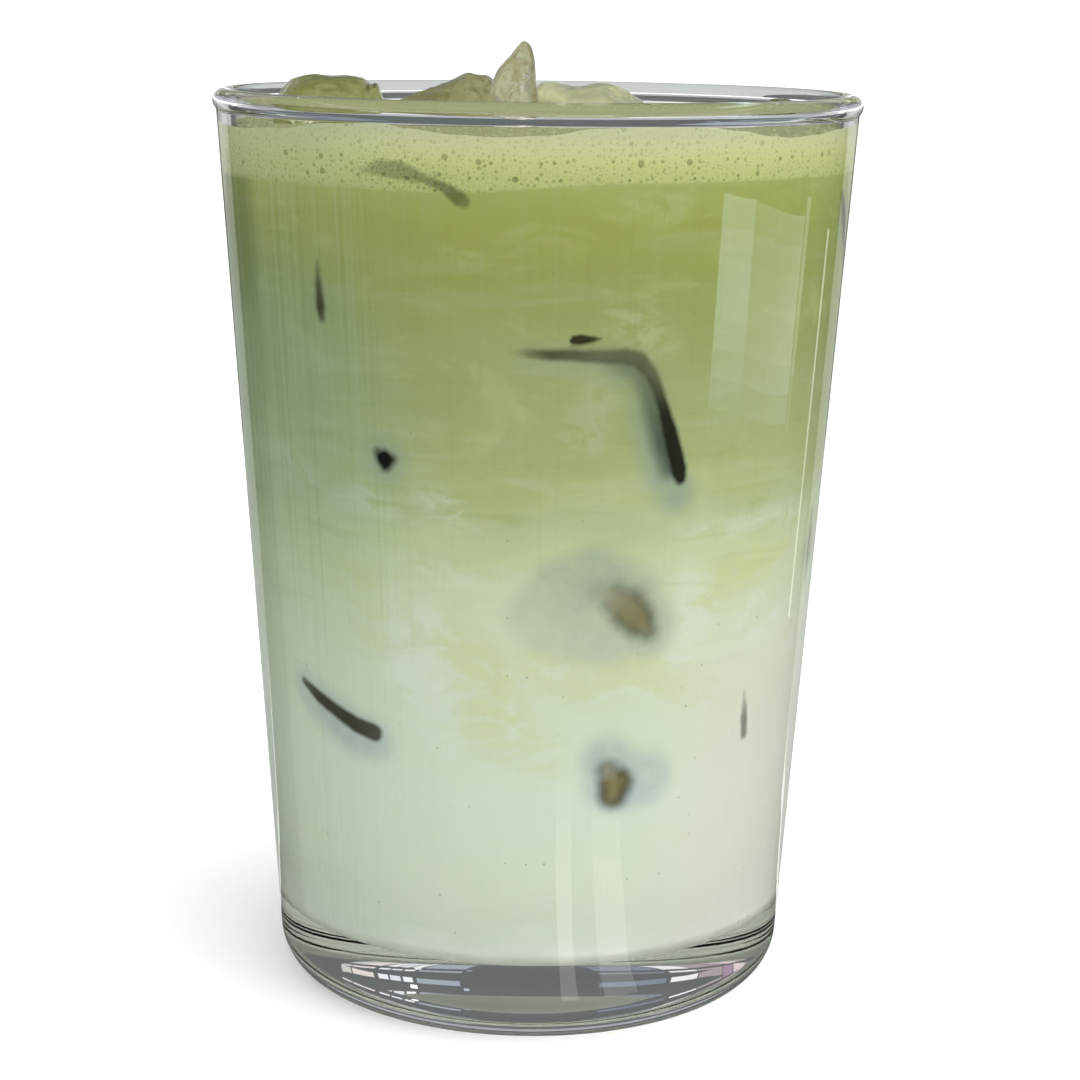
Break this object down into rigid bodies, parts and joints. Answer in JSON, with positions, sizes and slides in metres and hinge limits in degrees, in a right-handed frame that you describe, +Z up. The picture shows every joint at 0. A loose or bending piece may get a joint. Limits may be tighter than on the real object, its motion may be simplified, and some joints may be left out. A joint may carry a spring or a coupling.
{
  "type": "iced matcha latte",
  "caption": "Iced matcha latte in a tall tapered glass tumbler: green matcha under a pale foam sinks into white milk, with melting ice standing out of the top.",
  "frame": {"origin": "centre of the foot of the glass, on the surface it stands on", "axes": "+Z up along the axis of the glass, -Y towards the front as it is shown, +X to the right"},
  "size_m": [0.0884, 0.0884, 0.1312],
  "materials": {
    "clear_glass": "clear, polished",
    "milk": "white milk, wet",
    "milk_matcha": "pale green milk, wet",
    "matcha": "green matcha, wet",
    "foam": "fine pale green foam",
    "ice": "melting ice, wet and smooth"
  },
  "bodies": {
    "root": {"glass": "clear_glass", "milk": "milk", "blend": "milk_matcha", "matcha": "matcha", "foam": "foam", "ice_slab": "ice", "ice_ridge": "ice", "ice_spike": "ice", "ice_chunk": "ice", "ice_nub": "ice"}
  },
  "joints": []
}
